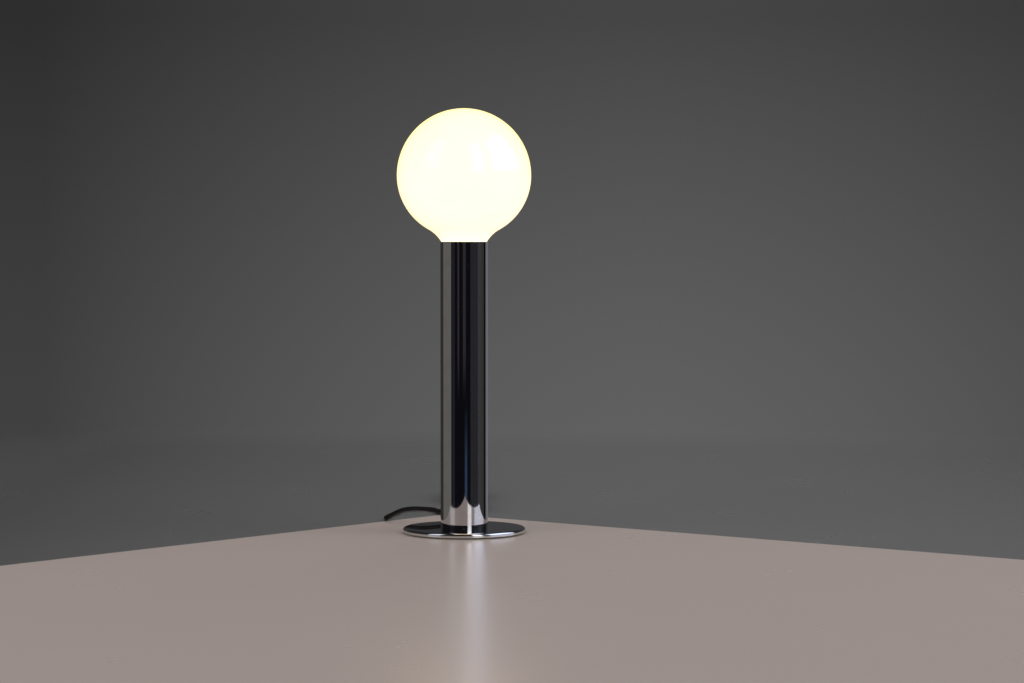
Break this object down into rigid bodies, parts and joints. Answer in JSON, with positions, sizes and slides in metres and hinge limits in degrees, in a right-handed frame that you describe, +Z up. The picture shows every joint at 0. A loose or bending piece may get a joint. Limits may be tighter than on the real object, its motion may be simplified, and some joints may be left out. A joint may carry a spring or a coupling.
{
  "type": "table lamp",
  "caption": "Table lamp with a round foot disc, a chromed tube, a bare opal globe bulb screwed into its upper end, and a black cord with a rocker switch and a plug.",
  "frame": {"origin": "centre of the felt's underside, on the table, under the tube's axis", "axes": "+Z up along the tube's axis, +Y to the back, where the cord leaves the tube, +X to the right seen from the front"},
  "size_m": [0.1354, 0.535, 0.3802],
  "materials": {
    "felt": "matte felt",
    "chrome": "mirror polish",
    "zinc_steel": "zinc plated, satin",
    "dark_steel": "blackened",
    "cord_pvc": "soft black sheath, slight sheen",
    "black_moulding": "moulded, light sheen",
    "bakelite": "moulded bakelite",
    "ceramic": "unglazed white",
    "brass": "satin",
    "opal_glass": "opal white, lit from inside, smooth",
    "clear_glass": "clear, smooth",
    "black_glass": "black, smooth",
    "cap_metal": "satin",
    "solder": "dull solder",
    "cement": "fired cement, matte",
    "wire": "drawn wire",
    "tungsten": "drawn wire, glowing when lit",
    "core_plastic": "core insulation"
  },
  "bodies": {
    "lamp": {"felt_pad": "felt", "base_plate": "chrome", "base_screws": "zinc_steel", "foot_plug": "zinc_steel", "tube": "chrome", "cord_bush": "cord_pvc", "cord_clamp": "zinc_steel", "clamp_screws": "zinc_steel", "inner_lead": "cord_pvc", "holder_bridge": "zinc_steel", "nipple": "brass", "nipple_nuts": "brass", "lock_washer": "zinc_steel", "holder_dome": "bakelite", "dome_grub_screw": "dark_steel", "holder_barrel": "bakelite", "holder_insert": "ceramic", "holder_shell": "brass", "centre_contact": "brass", "shell_contact": "brass", "holder_terminals": "brass", "terminal_screws": "zinc_steel", "holder_cores": "core_plastic", "cord_lamp_side": "cord_pvc", "switch_lower_shell": "black_moulding", "switch_upper_shell": "black_moulding", "rocker_pin": "zinc_steel", "live_contacts": "brass", "neutral_link": "brass", "switch_screws": "zinc_steel", "switch_case_screws": "zinc_steel", "switch_cord_grips": "zinc_steel", "switch_cord_ends": "cord_pvc", "switch_cores": "core_plastic", "cord_to_hank": "cord_pvc", "cord_hank": "cord_pvc", "cord_tie": "cord_pvc", "cord_to_plug": "cord_pvc", "plug_body": "black_moulding", "plug_pins": "brass", "pin_sleeves": "black_moulding", "plug_sleeve": "cord_pvc"},
    "bulb_slide": {"cap_contact": "solder"},
    "bulb": {"globe": "opal_glass", "cap_shell": "cap_metal", "cap_cement": "cement", "cap_insulator": "black_glass", "bulb_stem": "clear_glass", "lead_in_wires": "wire", "filament_supports": "wire", "filament": "tungsten"},
    "rocker": {"switch_rocker": "black_moulding", "moving_contact": "brass"}
  },
  "joints": [
    {"name": "bulb_lift", "type": "slide", "parent": "lamp", "child": "bulb_slide", "axis": [0, 0, 1], "range_m": [0, 0.0146]},
    {"name": "bulb_turn", "type": "hinge", "parent": "bulb_slide", "child": "bulb", "pos_m": [0, 0, 0.22], "axis": [0, 0, 1], "range_deg": [0, 1440]},
    {"name": "rocker_tip", "type": "hinge", "parent": "lamp", "child": "rocker", "pos_m": [0.009, 0.205, 0.0112], "axis": [1, 0, 0], "range_deg": [-16, 0]}
  ],
  "couplings": [
    {"joint": "bulb_lift", "follows": "bulb_turn", "m_per_rad": 0.00057757}
  ]
}
